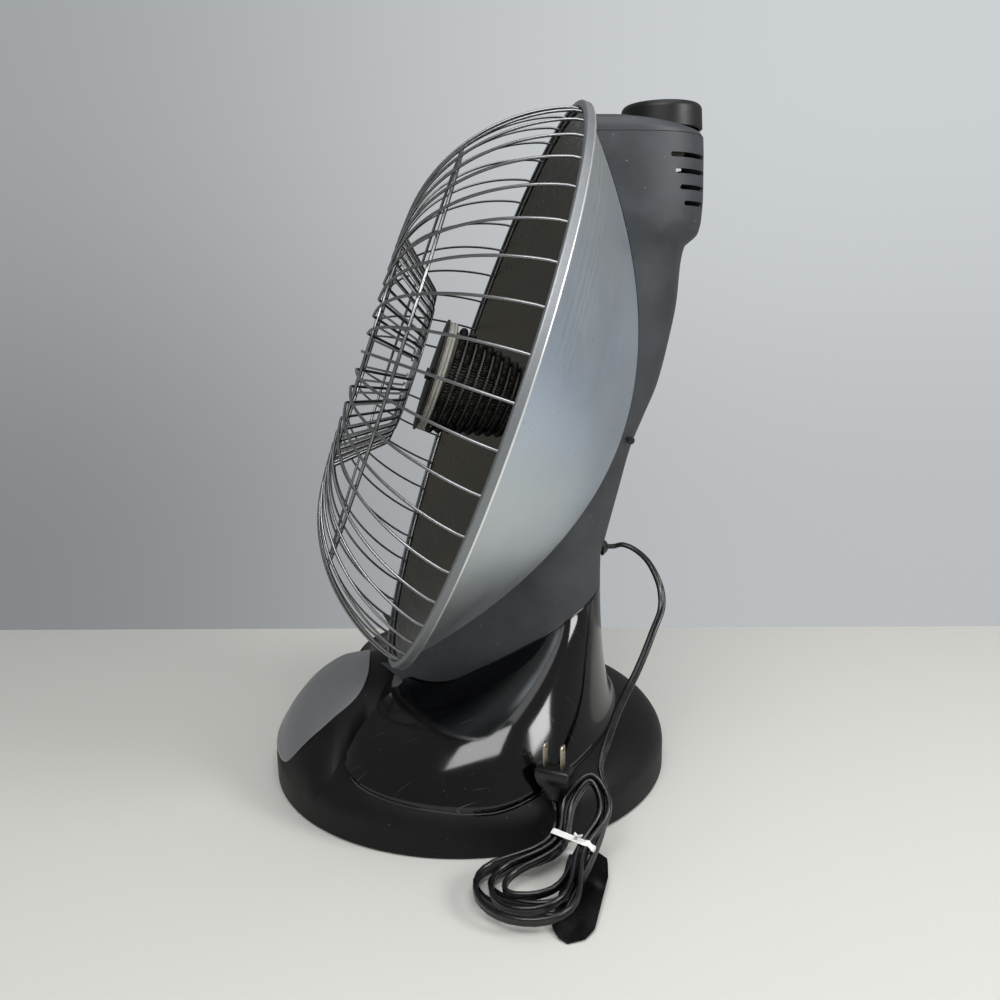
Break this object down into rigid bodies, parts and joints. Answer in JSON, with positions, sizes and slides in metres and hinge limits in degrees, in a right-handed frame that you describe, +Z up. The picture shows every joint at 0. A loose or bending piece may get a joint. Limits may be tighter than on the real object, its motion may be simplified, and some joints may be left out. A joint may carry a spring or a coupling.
{
  "type": "parabolic heater",
  "caption": "Free-standing electric dish heater: tilted parabolic reflector with a domed wire guard, a coil on a ceramic cone, rear housing with control knob, round base and a coiled cord.",
  "frame": {"origin": "middle of the heater's footprint on the floor, without its cord", "axes": "+Z up, +Y towards the back, -Y the way the dish faces, +X to the left of someone in front of it"},
  "size_m": [0.4814, 0.3504, 0.5223],
  "materials": {
    "base_black": "matte",
    "plate_dark": "matte",
    "steel": "satin",
    "rubber": "matte",
    "boot_gloss": "gloss",
    "badge_silver": "satin",
    "housing_charcoal": "matte",
    "reflector": "satin",
    "band_grey": "satin",
    "guard_chrome": "bright",
    "ceramic": "matte",
    "coil_dark": "oxidised",
    "cap_dark": "satin",
    "switch_body": "matte",
    "knob_black": "matte",
    "plunger_red": "matte",
    "cord_black": "semi-gloss",
    "tie_white": "matte",
    "blade_nickel": "satin"
  },
  "bodies": {
    "heater": {"base_shell": "base_black", "base_plate": "plate_dark", "ballast_plate": "steel", "rubber_feet": "rubber", "base_screws": "steel", "pedestal_shell": "boot_gloss", "pedestal_screws": "steel", "badge_plate": "badge_silver", "head_shell": "housing_charcoal", "head_cap": "housing_charcoal", "head_screws": "steel", "dish_reflector": "reflector", "rim_band": "band_grey", "guard_rim_ring": "guard_chrome", "guard_wires": "guard_chrome", "guard_ring_outer": "guard_chrome", "guard_ring_inner": "guard_chrome", "guard_disc": "guard_chrome", "element_core": "ceramic", "element_coil": "coil_dark", "element_front_ring": "ceramic", "element_cap": "cap_dark", "element_bolt": "steel", "element_collar": "steel", "dish_bracket": "steel", "terminal_block": "ceramic", "thermostat": "switch_body", "thermostat_nut": "steel", "tip_switch": "switch_body", "tip_spring": "steel", "strain_relief": "cord_black", "cord_free": "cord_black", "cord_hank": "cord_black", "cord_tie": "tie_white", "cord_tag": "plate_dark", "plug_body": "cord_black", "plug_blades": "blade_nickel"},
    "knob": {"control_knob": "knob_black", "control_shaft": "steel"},
    "plunger": {"tip_plunger": "plunger_red"}
  },
  "joints": [
    {"name": "knob_turn", "type": "hinge", "parent": "heater", "child": "knob", "pos_m": [0, 0.14425, 0.5], "axis": [0, 0, 1], "range_deg": [0, 270]},
    {"name": "plunger_drop", "type": "slide", "parent": "heater", "child": "plunger", "axis": [0, 0, -1], "range_m": [0, 0.006], "stiffness_N_per_m": 200, "springref_m": 0.01, "deforming": ["tip_spring"]}
  ]
}
